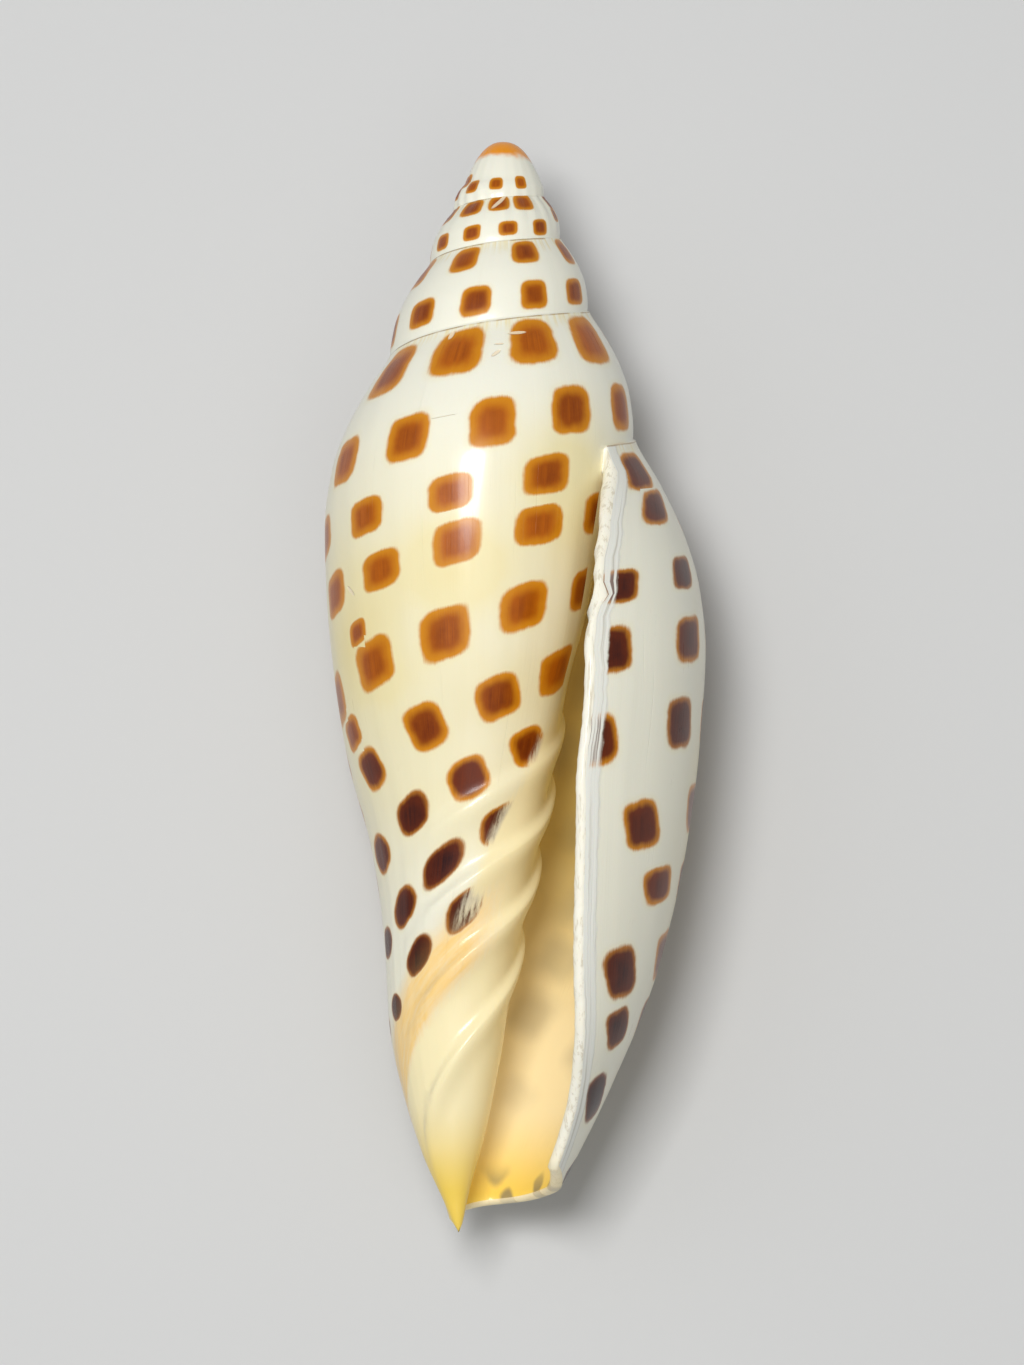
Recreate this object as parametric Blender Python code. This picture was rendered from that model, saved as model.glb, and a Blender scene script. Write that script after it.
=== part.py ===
# A spindle-shaped spiral seashell, dextral, lying on its back with the mouth up.
# One grown piece: a spire of whorls, a long body whorl, a narrow open mouth with a
# thin outer lip, four oblique folds on the central pillar and a notched pointed base.
#
# The shape is worked out in the shell's own frame, in millimetres: z runs from the
# apex down the coiling axis, and an angle t in degrees runs with growth, 0 towards
# the viewer of the mouth, 90 to the left, 180 at the back and 270 to the right.

import bpy
import bmesh
import numpy as np
from mathutils import Matrix, Vector

MM = 0.001

# Driving dimensions, millimetres and degrees
LENGTH = 100.0
TURN_PITCH = 1.76          # growth along the axis for each full turn
TURN_GIRTH = 1.57          # growth of the radius for each full turn
SUTURE_DEPTH = 27.3        # the last suture's distance from the apex, on the right side
SUTURE_RADIUS = 12.55
SPIRE_POWER = 0.8          # how the spire narrows towards the apex
APEX_ROUNDING = 2.55       # bluntness of the first whorl
APEX_DOME = 4.1            # height of the smooth cap of the first whorl
DOME_POWER = 0.42          # how blunt that cap is
TIP_DRIFT = 1.7            # how far the pointed base ends to the left of the coiling axis
LIP_ANGLE = 312.0          # where the outer lip leaves the suture
MOUTH_DEPTH_TURN = 342.0   # how far the hollow winds inwards from the lip
CANAL_ANGLE = 123.0        # where the open canal starts on the left of the back
WALL = 1.35
LIP_WALL = 1.15
MOUTH_TOP = 1.08           # top corner of the hollow, as a share of the suture's depth

# Whorl outline on the right side: depth from the apex, radius
WHORL = [(24.5, 11.6), (27.3, 12.55), (31.2, 14.9), (36.1, 17.3), (40.9, 18.75), (46.6, 19.4),
         (55.4, 19.0), (65.2, 17.9), (74.9, 16.1), (84.5, 13.3), (94.2, 11.3), (103.9, 9.9),
         (113.6, 8.3), (135.5, 5.1), (167.6, 1.6), (210.0, 0.65), (600.0, 0.4)]
# Pillar: depth, radius, and where its middle leaves the coiling axis to the left
PILLAR = [(0.0, 0.0), (20.0, 2.5), (35.0, 4.8), (50.0, 5.8), (55.0, 5.9), (60.0, 5.5), (67.0, 5.1),
          (75.0, 4.85), (82.0, 4.7), (88.0, 3.85), (92.5, 2.7), (97.0, 1.1), (99.2, 0.4), (100.0, 0.0)]
PILLAR_MIDDLE = [(0.0, 0.0), (14.0, 0.3), (32.0, 0.0), (51.0, 0.0), (61.3, -0.8), (68.2, -1.8),
                 (78.3, -3.0), (82.0, -3.05), (93.0, -2.6), (LENGTH, -TIP_DRIFT)]
# Lower edge of the outer wall: growth angle, depth
BASE_EDGE = [(CANAL_ANGLE, LENGTH), (135.0, 99.3), (150.0, 98.7), (180.0, 97.8), (210.0, 96.9),
             (240.0, 96.5), (270.0, 95.9), (294.0, 95.4), (LIP_ANGLE, 94.0)]
# Floor of the hollow behind the canal: growth angle, depth
HOLLOW_FLOOR = [(-60.0, 60.0), (-28.0, 63.0), (0.0, 66.7), (30.0, 70.8), (60.0, 75.8), (90.0, 83.0),
                (105.0, 89.5), (115.0, 95.5), (CANAL_ANGLE, LENGTH)]
# How far the lip's edge runs ahead of LIP_ANGLE: depth, degrees
LIP_SWEEP = [(31.6, 0.0), (33.4, 4.5), (36.0, 10.5), (39.3, 14.5), (43.2, 18.5), (48.0, 22.0),
             (58.0, 22.0), (67.0, 18.0), (76.0, 12.0), (84.0, 4.5), (89.0, -3.0), (95.2, -9.0)]

# Columellar folds: depth of each crest where it shows in the mouth, and its shape
FOLD_DEPTHS = (54.8, 61.3, 68.2, 75.9)
FOLD_ANGLE = -75.0
FOLD_HEIGHT = (0.55, 0.75, 0.8, 0.7)
FOLD_WIDTH = 1.25
FOLD_FADE = (10.0, 60.0)   # the folds die out on the front between these angles

# Resting position: the shell rolls and pitches a little until it balances
ROLL = 3.0
PITCH = 2.0
REST_SPOT_DEPTH = 0.2

# Mesh density
COLUMN_STEP = 9.0          # degrees
SHOULDER_ROWS = (27.3, 29.2, 31.9, 36.0, 41.5, SUTURE_DEPTH * TURN_PITCH)
LIP_STEPS = 2


def outline(points):
    """A smooth curve through a few points that never overshoots them."""
    x = np.array([p[0] for p in points], float)
    y = np.array([p[1] for p in points], float)
    h = np.diff(x)
    slope = np.diff(y) / h
    tangent = np.zeros_like(x)
    tangent[0] = slope[0]
    tangent[-1] = slope[-1]
    for i in range(1, len(x) - 1):
        if slope[i - 1] * slope[i] > 0:
            a = 2 * h[i] + h[i - 1]
            b = h[i] + 2 * h[i - 1]
            tangent[i] = (a + b) / (a / slope[i - 1] + b / slope[i])

    def curve(value):
        value = np.clip(value, x[0], x[-1])
        i = np.clip(np.searchsorted(x, value, side="right") - 1, 0, len(x) - 2)
        u = (value - x[i]) / h[i]
        return (y[i] * (1 + 2 * u) * (1 - u) ** 2 + y[i + 1] * u * u * (3 - 2 * u)
                + tangent[i] * h[i] * u * (1 - u) ** 2 - tangent[i + 1] * h[i] * u * u * (1 - u))

    return curve


whorl_radius = outline(WHORL)
pillar_radius = outline(PILLAR)
pillar_middle = outline(PILLAR_MIDDLE)
base_edge = outline(BASE_EDGE)
hollow_floor = outline(HOLLOW_FLOOR)
lip_sweep = outline(LIP_SWEEP)


def ease(value, start, end):
    """0 before start, 1 after end, smooth between."""
    t = np.clip((value - start) / (end - start), 0.0, 1.0)
    return t * t * (3 - 2 * t)


def either(a, b, sharpness=8.0):
    """The larger of two radii, with a rounded meeting."""
    return (a ** sharpness + b ** sharpness) ** (1 / sharpness)


def pitch_at(angle):
    return TURN_PITCH ** ((angle - 270.0) / 360.0)


def girth_at(angle):
    return TURN_GIRTH ** ((angle - 270.0) / 360.0)


def suture(angle):
    return SUTURE_DEPTH * pitch_at(angle)


def wall_radius(angle, z):
    """Radius of the coiled wall about the coiling axis."""
    age = z / pitch_at(angle)
    cone = SUTURE_RADIUS * (np.maximum(z, 1e-6) / SUTURE_DEPTH) ** SPIRE_POWER
    dome = np.sqrt(APEX_ROUNDING * np.maximum(z, 0.0))
    blunt = either(cone, dome) / cone
    narrow = 1 - 0.65 * ease(angle, CANAL_ANGLE, 220.0)
    closing = 1 - narrow * np.clip((z - 80.3) / 19.7, 0.0, 1.0) ** 2
    worn = 1 - 0.2 * ease(-angle, 30.0, 90.0) * ease(age, 48.0, 66.0)
    return girth_at(angle) * whorl_radius(age) * blunt * closing * worn


def folds(angle, z):
    """The ridges that wind round the pillar, one below the other."""
    height = 0.0
    for depth, crest in zip(FOLD_DEPTHS, FOLD_HEIGHT):
        line = depth * TURN_PITCH ** ((angle - FOLD_ANGLE) / 360.0)
        away = (z - line) / FOLD_WIDTH
        upper = np.exp(-np.minimum(away, 0) ** 2 * 1.6)
        lower = np.exp(-np.maximum(away, 0) ** 2 / 3.2)
        height = height + crest * np.where(away < 0, upper, lower)
    fade = 1 - ease(angle, *FOLD_FADE)
    inner = 0.45 + 0.55 * ease(angle, -330.0, -120.0)
    return height * fade * inner * ease(z, 48.0, 54.0)


def radius(angle, z):
    """Radius of the whorls and the pillar about the pillar's middle."""
    middle = pillar_middle(z)
    drift = TIP_DRIFT * np.clip((z - 64.0) / (LENGTH - 64.0), 0.0, 1.0) ** 1.6
    wall = wall_radius(angle, z) + (drift + middle) * np.sin(np.radians(angle))
    inner = 0.6 ** (np.clip(-90.0 - angle, 0.0, 400.0) / 180.0)
    pillar = pillar_radius(z) * inner
    return either(np.maximum(wall, 0.0), pillar) + folds(angle, z)


def place(angle, z, r):
    """Shell frame to world frame before the shell is rolled to rest, metres."""
    t = np.radians(angle)
    x = pillar_middle(z) - r * np.sin(t)
    y = -z + LENGTH / 2
    d = r * np.cos(t)
    return np.stack([x + 0 * z, y + 0 * t, d + 0 * z], axis=-1) * MM


def suture_point(angle):
    z = suture(angle)
    return place(angle, z, radius(angle, z))


def lip_lead(growth, z):
    return lip_sweep(z) * ease(growth, 190.0, LIP_ANGLE)


def bottom(growth):
    """Lowest point of the outer surface in each column."""
    if growth <= CANAL_ANGLE:
        return LENGTH
    return float(base_edge(growth))


def hollow_bottom(growth):
    if growth <= CANAL_ANGLE:
        return float(hollow_floor(growth))
    return float(base_edge(growth))


def body_rows(growth, rows, floor):
    """Depths of the rows below the mouth's top corner, which follow the folds."""
    age = np.array(rows)
    top = MOUTH_TOP * SUTURE_DEPTH * TURN_PITCH
    last = FOLD_DEPTHS[-1] * TURN_PITCH ** ((270.0 - FOLD_ANGLE) / 360.0) * 1.05
    follow = age * pitch_at(growth)
    high = follow[age <= last][-1]
    below = age > last
    count = below.sum()
    follow[below] = high + (floor - high) * (np.arange(count) + 1) / count
    share = (age - top) / (age[-1] - top)
    evenly = top * pitch_at(growth) + (floor - top * pitch_at(growth)) * share
    blend = ease(growth, 15.0, 75.0)
    return follow * (1 - blend) + evenly * blend


def row_ages():
    """Row positions down the pillar: above, on and between the folds."""
    top = MOUTH_TOP * SUTURE_DEPTH * TURN_PITCH
    scale = TURN_PITCH ** ((270.0 - FOLD_ANGLE) / 360.0)
    first = (FOLD_DEPTHS[0] - 2.4) * scale
    ages = list(top + (first - top) * np.array([0.0, 0.22, 0.46, 0.72, 1.0]))
    for i, depth in enumerate(FOLD_DEPTHS):
        ages.append(depth * scale)
        following = FOLD_DEPTHS[i + 1] if i + 1 < len(FOLD_DEPTHS) else depth * 1.1
        ages.append((0.42 * depth + 0.58 * following) * scale)
        if i + 1 < len(FOLD_DEPTHS):
            ages.append((0.16 * depth + 0.84 * following) * scale)
    ages.extend(ages[-1] + np.array([8.0, 16.0, 24.0, 32.0, 40.0]))
    return ages


ROWS = row_ages()


def outer_depths(growth):
    """Depths of the outer surface's rows from the suture to the lower edge."""
    top = np.array(SHOULDER_ROWS) * pitch_at(growth)
    corner = top[-1] * (1 + (MOUTH_TOP - 1) * (np.arange(LIP_STEPS) + 1) / LIP_STEPS)
    rest = body_rows(growth, ROWS, bottom(growth))[1:]
    return np.concatenate([top, corner, rest])


def outer_column(growth):
    """World points of the outer surface."""
    z = outer_depths(growth)
    angle = growth + lip_lead(growth, z)
    points = place(angle, z, radius(angle, z))
    if growth < LIP_ANGLE - 359.9:
        points[len(SHOULDER_ROWS) - 1] = suture_point(growth + 360.0)
    return points


def inner_pillar_column(growth):
    """World points of the previous whorl and the pillar inside the mouth."""
    z = body_rows(growth, ROWS, hollow_bottom(growth + 360.0))
    if growth + 360.0 > CANAL_ANGLE:
        z = body_rows(growth, ROWS, LENGTH)
    return place(growth, z, radius(growth, z))


def roundness(z, top, floor, closed):
    """How far the hollow has opened: 0 at its corners, 1 between them."""
    span = floor - top
    rise = np.clip((z - top) / (0.10 * span), 0.0, 1.0)
    opened = np.sqrt(1 - (1 - rise) ** 2)
    fall = np.clip((floor - z) / (0.16 * span), 0.0, 1.0)
    shut = np.sqrt(1 - (1 - fall) ** 2)
    return opened * (shut * closed + (1 - closed))


def inner_wall_column(growth):
    """World points of the inside of the outer wall, row by row with the outside."""
    top = MOUTH_TOP * suture(growth)
    floor = hollow_bottom(growth)
    depths = outer_depths(growth)
    z = top + (depths - depths[0]) * (floor - top) / (depths[-1] - depths[0])
    angle = growth + lip_lead(growth, z)
    outside = radius(angle, z)
    inside = radius(angle - 360.0, z)
    wall = (WALL + (LIP_WALL - WALL) * ease(growth, 250.0, LIP_ANGLE)) * girth_at(growth) ** 0.5
    wall = np.minimum(wall, 0.55 * (outside - inside))
    closed = 1 - ease(growth, CANAL_ANGLE, CANAL_ANGLE + 30.0)
    gap = (outside - wall - inside) * roundness(z, top, floor, closed)
    return place(angle, z, inside + gap)


class Sheet:
    """A lattice grown by extruding a chain of edges column after column."""

    def __init__(self, mesh, points):
        self.mesh = mesh
        self.chain = [mesh.verts.new(p) for p in points]
        self.edges = [mesh.edges.new(pair) for pair in zip(self.chain, self.chain[1:])]
        self.columns = [list(self.chain)]

    def grow(self, points):
        made = bmesh.ops.extrude_edge_only(self.mesh, edges=self.edges)["geom"]
        fresh = {item for item in made if isinstance(item, bmesh.types.BMVert)}
        following = []
        for vert in self.chain:
            partner = next(e.other_vert(vert) for e in vert.link_edges if e.other_vert(vert) in fresh)
            following.append(partner)
        for vert, point in zip(following, points):
            vert.co = point
        self.edges = [self.mesh.edges.get(pair) for pair in zip(following, following[1:])]
        self.chain = following
        self.columns.append(list(following))


def angles(start, end):
    count = int(round(abs(end - start) / COLUMN_STEP))
    return np.linspace(start, end, count + 1)


def spire_sheet(mesh):
    """The whorls above the body whorl, and the smooth cap of the first one."""
    first = 270.0 + 360.0 * np.log(APEX_DOME / SUTURE_DEPTH) / np.log(TURN_PITCH)
    turns = np.round((LIP_ANGLE - 360.0 - first) / COLUMN_STEP)
    first = LIP_ANGLE - 360.0 - turns * COLUMN_STEP
    dome = suture(first)

    fit = radius(first, dome) / radius(first - 360.0, dome)

    def first_turn(growth):
        return fit + (1 - fit) * min(1.0, (growth - first + 360.0) / 360.0)

    def column(growth):
        z = np.array(SHOULDER_ROWS) * pitch_at(growth)
        if growth < first:
            share = (np.array(SHOULDER_ROWS) - SUTURE_DEPTH) / (SUTURE_DEPTH * (TURN_PITCH - 1))
            z = dome + (z[-1] - dome) * share
        points = place(growth, z, radius(growth, z) * first_turn(growth))
        points[-1] = suture_point(growth + 360.0)
        return points

    steps = angles(first - 360.0, LIP_ANGLE - 360.0)
    sheet = Sheet(mesh, column(steps[0]))
    for growth in steps[1:]:
        sheet.grow(column(growth))

    heights = np.array([0.0, 0.12, 0.4, 1.0])

    def cap(growth):
        rim = radius(growth, dome) * first_turn(growth)
        return place(growth, dome * heights, rim * heights ** DOME_POWER)

    steps = angles(first - 360.0, first)
    sheet = Sheet(mesh, cap(steps[0]))
    for growth in steps[1:]:
        sheet.grow(cap(growth))


def body_sheet(mesh):
    """The outside of the body whorl."""
    steps = angles(LIP_ANGLE - 360.0, LIP_ANGLE)
    sheet = Sheet(mesh, outer_column(steps[0]))
    for growth in steps[1:]:
        sheet.grow(outer_column(growth))
    return sheet


def hollow_sheets(mesh):
    """The inside: the pillar with its folds, and the inner face of the wall."""
    start = LIP_ANGLE - 360.0
    end = start - MOUTH_DEPTH_TURN
    steps = angles(start, end)
    pillar = Sheet(mesh, inner_pillar_column(steps[0]))
    for growth in steps[1:]:
        pillar.grow(inner_pillar_column(growth))
    steps = angles(LIP_ANGLE, LIP_ANGLE - MOUTH_DEPTH_TURN)
    wall = Sheet(mesh, inner_wall_column(steps[0]))
    for growth in steps[1:]:
        wall.grow(inner_wall_column(growth))
    return pillar, wall


def edge_strips(mesh, body, wall):
    """The lip's edge and the notched lower edge, rounded over the wall's thickness."""
    outer = [v.co.copy() for v in body.columns[-1]]
    inner = [v.co.copy() for v in wall.columns[0]]
    before = [v.co.copy() for v in body.columns[-2]]
    count = len(outer)
    middle = []
    for i in range(count):
        ahead = (outer[i] - before[i])
        ahead.normalize()
        swell = 0.35 * (outer[i] - inner[i]).length * min(1.0, 0.5 * i)
        if i == 0:
            z = suture(LIP_ANGLE) * (1 + (MOUTH_TOP - 1) / 2)
            middle.append(Vector(place(LIP_ANGLE - 360.0, z, radius(LIP_ANGLE - 360.0, z))))
        else:
            middle.append((outer[i] + inner[i]) / 2 + ahead * swell)
    steps = angles(LIP_ANGLE, LIP_ANGLE - MOUTH_DEPTH_TURN)
    down = Vector((0, -1, 0))
    middle[-1] += down * 0.35 * (outer[-1] - inner[-1]).length
    strip = Sheet(mesh, outer)
    strip.grow(middle)
    strip.grow(inner)
    rim = None
    for k, growth in enumerate(steps):
        if growth < CANAL_ANGLE - 0.01:
            break
        top = body.columns[-1 - k][-1].co.copy()
        low = wall.columns[k][-1].co.copy()
        mid = (top + low) / 2 + down * 0.35 * (top - low).length
        if k == 0:
            mid = middle[-1]
        if rim is None:
            rim = Sheet(mesh, [top, mid, low])
        else:
            rim.grow([top, mid, low])


def close_hollow(mesh, pillar, wall):
    """Round off the inner end of the hollow."""
    loop = wall.columns[-1] + pillar.columns[-1][1:-1][::-1]
    points = [v.co.copy() for v in loop]
    centre = sum(points, Vector()) / len(points)
    forward = (wall.columns[-1][len(wall.chain) // 2].co - wall.columns[-2][len(wall.chain) // 2].co)
    forward.normalize()
    ring = Sheet(mesh, points + [points[0]])
    for size, shift in ((0.8, 0.7), (0.45, 1.1)):
        moved = [centre + (p - centre) * size + forward * shift * MM for p in points]
        ring.grow(moved + [moved[0]])
    tip = centre + forward * 1.25 * MM
    ring.grow([tip] * (len(points) + 1))


def rest_spot(mesh):
    """Turn the shell to its balance, set it on the ground and flatten where it touches."""
    turn = Matrix.Rotation(np.radians(PITCH), 4, "X") @ Matrix.Rotation(np.radians(ROLL), 4, "Y")
    bmesh.ops.transform(mesh, matrix=turn, verts=mesh.verts)
    low = min(v.co.z for v in mesh.verts)
    xs = [v.co.x for v in mesh.verts]
    ys = [v.co.y for v in mesh.verts]
    shift = Vector((-(min(xs) + max(xs)) / 2, -(min(ys) + max(ys)) / 2, -low - REST_SPOT_DEPTH * MM))
    bmesh.ops.translate(mesh, vec=shift, verts=mesh.verts)
    cut = bmesh.ops.bisect_plane(mesh, geom=mesh.verts[:] + mesh.edges[:] + mesh.faces[:], dist=1e-7,
                                 plane_co=(0, 0, 0), plane_no=(0, 0, -1), clear_outer=True)
    rim = [item for item in cut["geom_cut"] if isinstance(item, bmesh.types.BMEdge)]
    bmesh.ops.edgeloop_fill(mesh, edges=rim)


def material():
    surface = bpy.data.materials.new("shell_lustre")
    surface.use_nodes = True
    shader = surface.node_tree.nodes["Principled BSDF"]
    shader.inputs["Base Color"].default_value = (0.86, 0.80, 0.64, 1.0)
    shader.inputs["Roughness"].default_value = 0.28
    shader.inputs["Metallic"].default_value = 0.0
    return surface


def build_shell():
    mesh = bmesh.new()
    spire_sheet(mesh)
    body = body_sheet(mesh)
    pillar, wall = hollow_sheets(mesh)
    edge_strips(mesh, body, wall)
    close_hollow(mesh, pillar, wall)
    bmesh.ops.remove_doubles(mesh, verts=mesh.verts, dist=0.00002)
    bmesh.ops.dissolve_degenerate(mesh, edges=mesh.edges, dist=0.000005)
    bmesh.ops.recalc_face_normals(mesh, faces=mesh.faces)
    rest_spot(mesh)
    bmesh.ops.triangulate(mesh, faces=mesh.faces)
    data = bpy.data.meshes.new("shell")
    mesh.to_mesh(data)
    mesh.free()
    data.shade_smooth()
    data.materials.append(material())
    shell = bpy.data.objects.new("shell", data)
    bpy.context.scene.collection.objects.link(shell)
    return shell


def main():
    for old in list(bpy.data.objects):
        bpy.data.objects.remove(old, do_unlink=True)
    build_shell()


main()
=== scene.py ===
"""A lustrous spotted spiral shell, lying on its back on a pale studio floor, mouth up."""

import math
from functools import partialmethod

import bmesh
import bpy
import numpy as np
from bpy.props import FloatProperty, FloatVectorProperty, IntProperty, PointerProperty
from mathutils import Matrix, Vector


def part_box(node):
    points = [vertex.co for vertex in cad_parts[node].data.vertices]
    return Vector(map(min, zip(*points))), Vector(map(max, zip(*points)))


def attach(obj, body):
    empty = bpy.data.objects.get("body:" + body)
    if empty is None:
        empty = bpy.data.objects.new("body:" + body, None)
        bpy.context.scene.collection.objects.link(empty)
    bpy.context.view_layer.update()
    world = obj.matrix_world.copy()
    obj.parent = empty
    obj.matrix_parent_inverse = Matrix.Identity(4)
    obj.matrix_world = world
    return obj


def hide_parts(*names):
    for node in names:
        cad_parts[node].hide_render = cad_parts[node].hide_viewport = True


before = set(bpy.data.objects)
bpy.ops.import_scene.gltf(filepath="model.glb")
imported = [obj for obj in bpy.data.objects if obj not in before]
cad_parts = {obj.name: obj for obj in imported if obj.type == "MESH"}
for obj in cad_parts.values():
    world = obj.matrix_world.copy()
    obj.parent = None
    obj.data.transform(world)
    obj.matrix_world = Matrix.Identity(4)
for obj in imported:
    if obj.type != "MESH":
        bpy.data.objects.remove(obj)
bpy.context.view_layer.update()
SOLID_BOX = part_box("shell")

bl_info = {
    "name": "Spotted Spiral Shell",
    "version": (1, 0, 0),
    "blender": (4, 5, 0),
    "location": "View3D > Sidebar > Shell",
    "description": "Models a glossy spotted spiral shell and a plain studio around it",
    "category": "Add Mesh",
}

MM = 0.001

# Driving dimensions, millimetres and degrees. Depth z runs from the apex down the coiling axis,
# and an angle runs with growth: 0 towards the viewer, 90 left, 180 back, 270 right.
LENGTH = 100.0
TURN_PITCH = 1.76
TURN_GIRTH = 1.57
SUTURE_DEPTH = 27.3
SUTURE_RADIUS = 12.55
SPIRE_POWER = 0.8
APEX_ROUNDING = 2.55
APEX_DOME = 4.1
DOME_POWER = 0.42
TIP_DRIFT = 1.7
LIP_ANGLE = 312.0
MOUTH_ANGLE = LIP_ANGLE - 360.0
MOUTH_DEPTH_TURN = 342.0
CANAL_ANGLE = 123.0
WALL = 1.35
LIP_WALL = 1.15
MOUTH_TOP = 1.08

# Whorl outline on the right side: depth from the apex, radius
WHORL = [(24.5, 11.6), (27.3, 12.55), (31.2, 14.9), (36.1, 17.3), (40.9, 18.75), (46.6, 19.4),
         (55.4, 19.0), (65.2, 17.9), (74.9, 16.1), (84.5, 13.3), (94.2, 11.3), (103.9, 9.9),
         (113.6, 8.3), (135.5, 5.1), (167.6, 1.6), (210.0, 0.65), (600.0, 0.4)]
# Pillar: depth, radius, and where its middle leaves the coiling axis to the left
PILLAR = [(0.0, 0.0), (20.0, 2.5), (35.0, 4.8), (50.0, 5.8), (55.0, 5.9), (60.0, 5.5), (67.0, 5.1),
          (75.0, 4.85), (82.0, 4.7), (88.0, 3.85), (92.5, 2.7), (97.0, 1.1), (99.2, 0.4), (100.0, 0.0)]
PILLAR_MIDDLE = [(0.0, 0.0), (14.0, 0.3), (32.0, 0.0), (51.0, 0.0), (61.3, -0.8), (68.2, -1.8),
                 (78.3, -3.0), (82.0, -3.05), (93.0, -2.6), (LENGTH, -TIP_DRIFT)]
# Lower edge of the outer wall: growth angle, depth
BASE_EDGE = [(CANAL_ANGLE, LENGTH), (135.0, 99.3), (150.0, 98.7), (180.0, 97.8), (210.0, 96.9),
             (240.0, 96.5), (270.0, 95.9), (294.0, 95.4), (LIP_ANGLE, 94.0)]
# Floor of the hollow behind the canal: growth angle, depth
HOLLOW_FLOOR = [(-60.0, 60.0), (-28.0, 63.0), (0.0, 66.7), (30.0, 70.8), (60.0, 75.8), (90.0, 83.0),
                (105.0, 89.5), (115.0, 95.5), (CANAL_ANGLE, LENGTH)]
# How far the lip's edge runs ahead of LIP_ANGLE: depth, degrees
LIP_SWEEP = [(31.6, 0.0), (33.4, 4.5), (36.0, 10.5), (39.3, 14.5), (43.2, 18.5), (48.0, 22.0),
             (58.0, 22.0), (67.0, 18.0), (76.0, 12.0), (84.0, 4.5), (89.0, -3.0), (95.2, -9.0)]

# Folds on the pillar: depth of each crest where it shows in the mouth, and its shape
FOLD_DEPTHS = (54.8, 61.3, 68.2, 75.9)
FOLD_ANGLE = -75.0
FOLD_HEIGHT = (0.55, 0.75, 0.8, 0.7)
FOLD_WIDTH = 1.25
FOLD_FADE = (10.0, 60.0)

# Fine relief
RIBS_PER_TURN = 22
RIB_HEIGHT = 0.05
RIB_DEPTH = (5.8, 2.2)       # middle and half width of the ribbed band on the first whorl
LEDGE = 0.06                 # step of each whorl's upper edge over the whorl above it
LEDGE_WIDTH = 0.7
SWELL = 0.03                 # faint swellings between the growth lines
ARREST_ANGLES = (128.0, 301.0)   # old resting places of the lip, thin raised lines
ARREST_HEIGHT = 0.035
CHIP_DEPTH = 1.0             # degrees by which the lip's broken edge wanders

# Resting position
ROLL = 3.0
PITCH = 2.0
REST_SPOT_DEPTH = 0.2

# Painted light: the mouth's lining glows by this share of its colour, standing in for light that comes
# through the wall into the mouth
PAINTED_MOUTH_GLOW = 0.08

# Mesh density
COLUMN_STEP = 1.5
DEEP_STEP = 9.0              # columns far inside the mouth
DEEP_AFTER = LIP_ANGLE - CANAL_ANGLE
SHOULDER_COUNT = 22
ROW_PARTS = 5
LIP_STEPS = 8
CAP_ROWS = 14
MERGE = 0.000002

# Rows of spots on the outside: age at the front, age further on, first and last angle, number,
# how far the middle spots run ahead, how far the first half runs ahead of the second,
# width at the front, height at the front, height at the back, share of that size at the start.
# Age is depth divided by the whorl's growth, so a row of one age winds with the whorls.
SPOT_ROWS = (
    (31.5, 30.7, -53, 298, 11, 6, 0, 4.3, 4.4, 3.8, 1),
    (34.6, 34.1, 130, 298, 6, 3, 0, 4.1, 3.4, 3.4, 1),
    (42.2, 40.1, -63, 325, 13, 5, -3, 4.0, 4.3, 3.2, 1),
    (51.0, 45.5, -58, 329, 13, 15, 3, 4.3, 3.5, 4.2, 1),
    (58.2, 53.0, -51, 332, 14, 8, 3, 4.5, 3.6, 4.4, 1),
    (64.2, 61.1, 61, 314, 9, 14, 7, 4.4, 3.6, 4.6, 0.6),
    (69.2, 67.6, -46, 301, 12, 13, -5, 4.6, 4.5, 3.6, 0.8),
    (74.9, 74.3, 78, 309, 9, 2, -3, 4.4, 3.4, 4.4, 0.8),
    (80.4, 80.1, -38, 303, 11, 16, -9, 4.3, 4.0, 3.6, 1),
    (89.8, 86.3, -27, 298, 11, 15, -4, 4.1, 3.9, 4.3, 1),
    (99.8, 94.4, -16, 281, 10, 5, 0, 4.1, 3.7, 4.0, 1),
    (109.2, 102.5, -3, 244, 8, 9, -3, 3.8, 3.7, 3.7, 1),
    (111.5, 111.5, 183, 213, 2, 0, 0, 3.2, 2.4, 2.4, 1),
)
# Rows on the spire wind on into the two upper rows of the body whorl: age, first and last
# angle, number, the two runs ahead, width and height where the radius is SPOT_RADIUS.
# The spot at the last angle belongs to the next row. The last two are single spots at the notch.
SPIRE_ROWS = (
    (31.0, -424, -54, 10, 11, 4, 5.4, 4.8),
    (42.4, -415, -63, 11, -1, 1, 4.9, 4.4),
    (30.6, -743, -424, 9, -24, -3, 5.6, 4.2),
    (42.9, -757, -415, 11, -9, 3, 3.9, 3.4),
    (30.2, -1010, -743, 6, 0, 0, 5.3, 4.8),
    (36.8, -1104, -757, 11, 0, 0, 3.8, 3.8),
    (103.3, 229, 240, 2, 0, 0, 6.4, 4.4),
    (97.2, 256, 270, 2, 0, 0, 5.6, 4.0),
)
ROW_BEND = (60.0, 140.0)     # angles between which a row passes from its first age to its second
LIP_RISE = 0.028             # the rows rise by this share of their age towards the lip
LIP_RISE_ANGLES = (262.0, 305.0)
BACK_WIDENING = 0.22         # spots on the back are wider by this share
SPOT_RADIUS = 18.0
SPOT_TURN_DEPTH = (44.0, 58.0)   # from here down a spot stands square to its row
FOLD_LEAN = 0.7              # low on the front the spots are drawn out along the folds
SEED = 5

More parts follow.
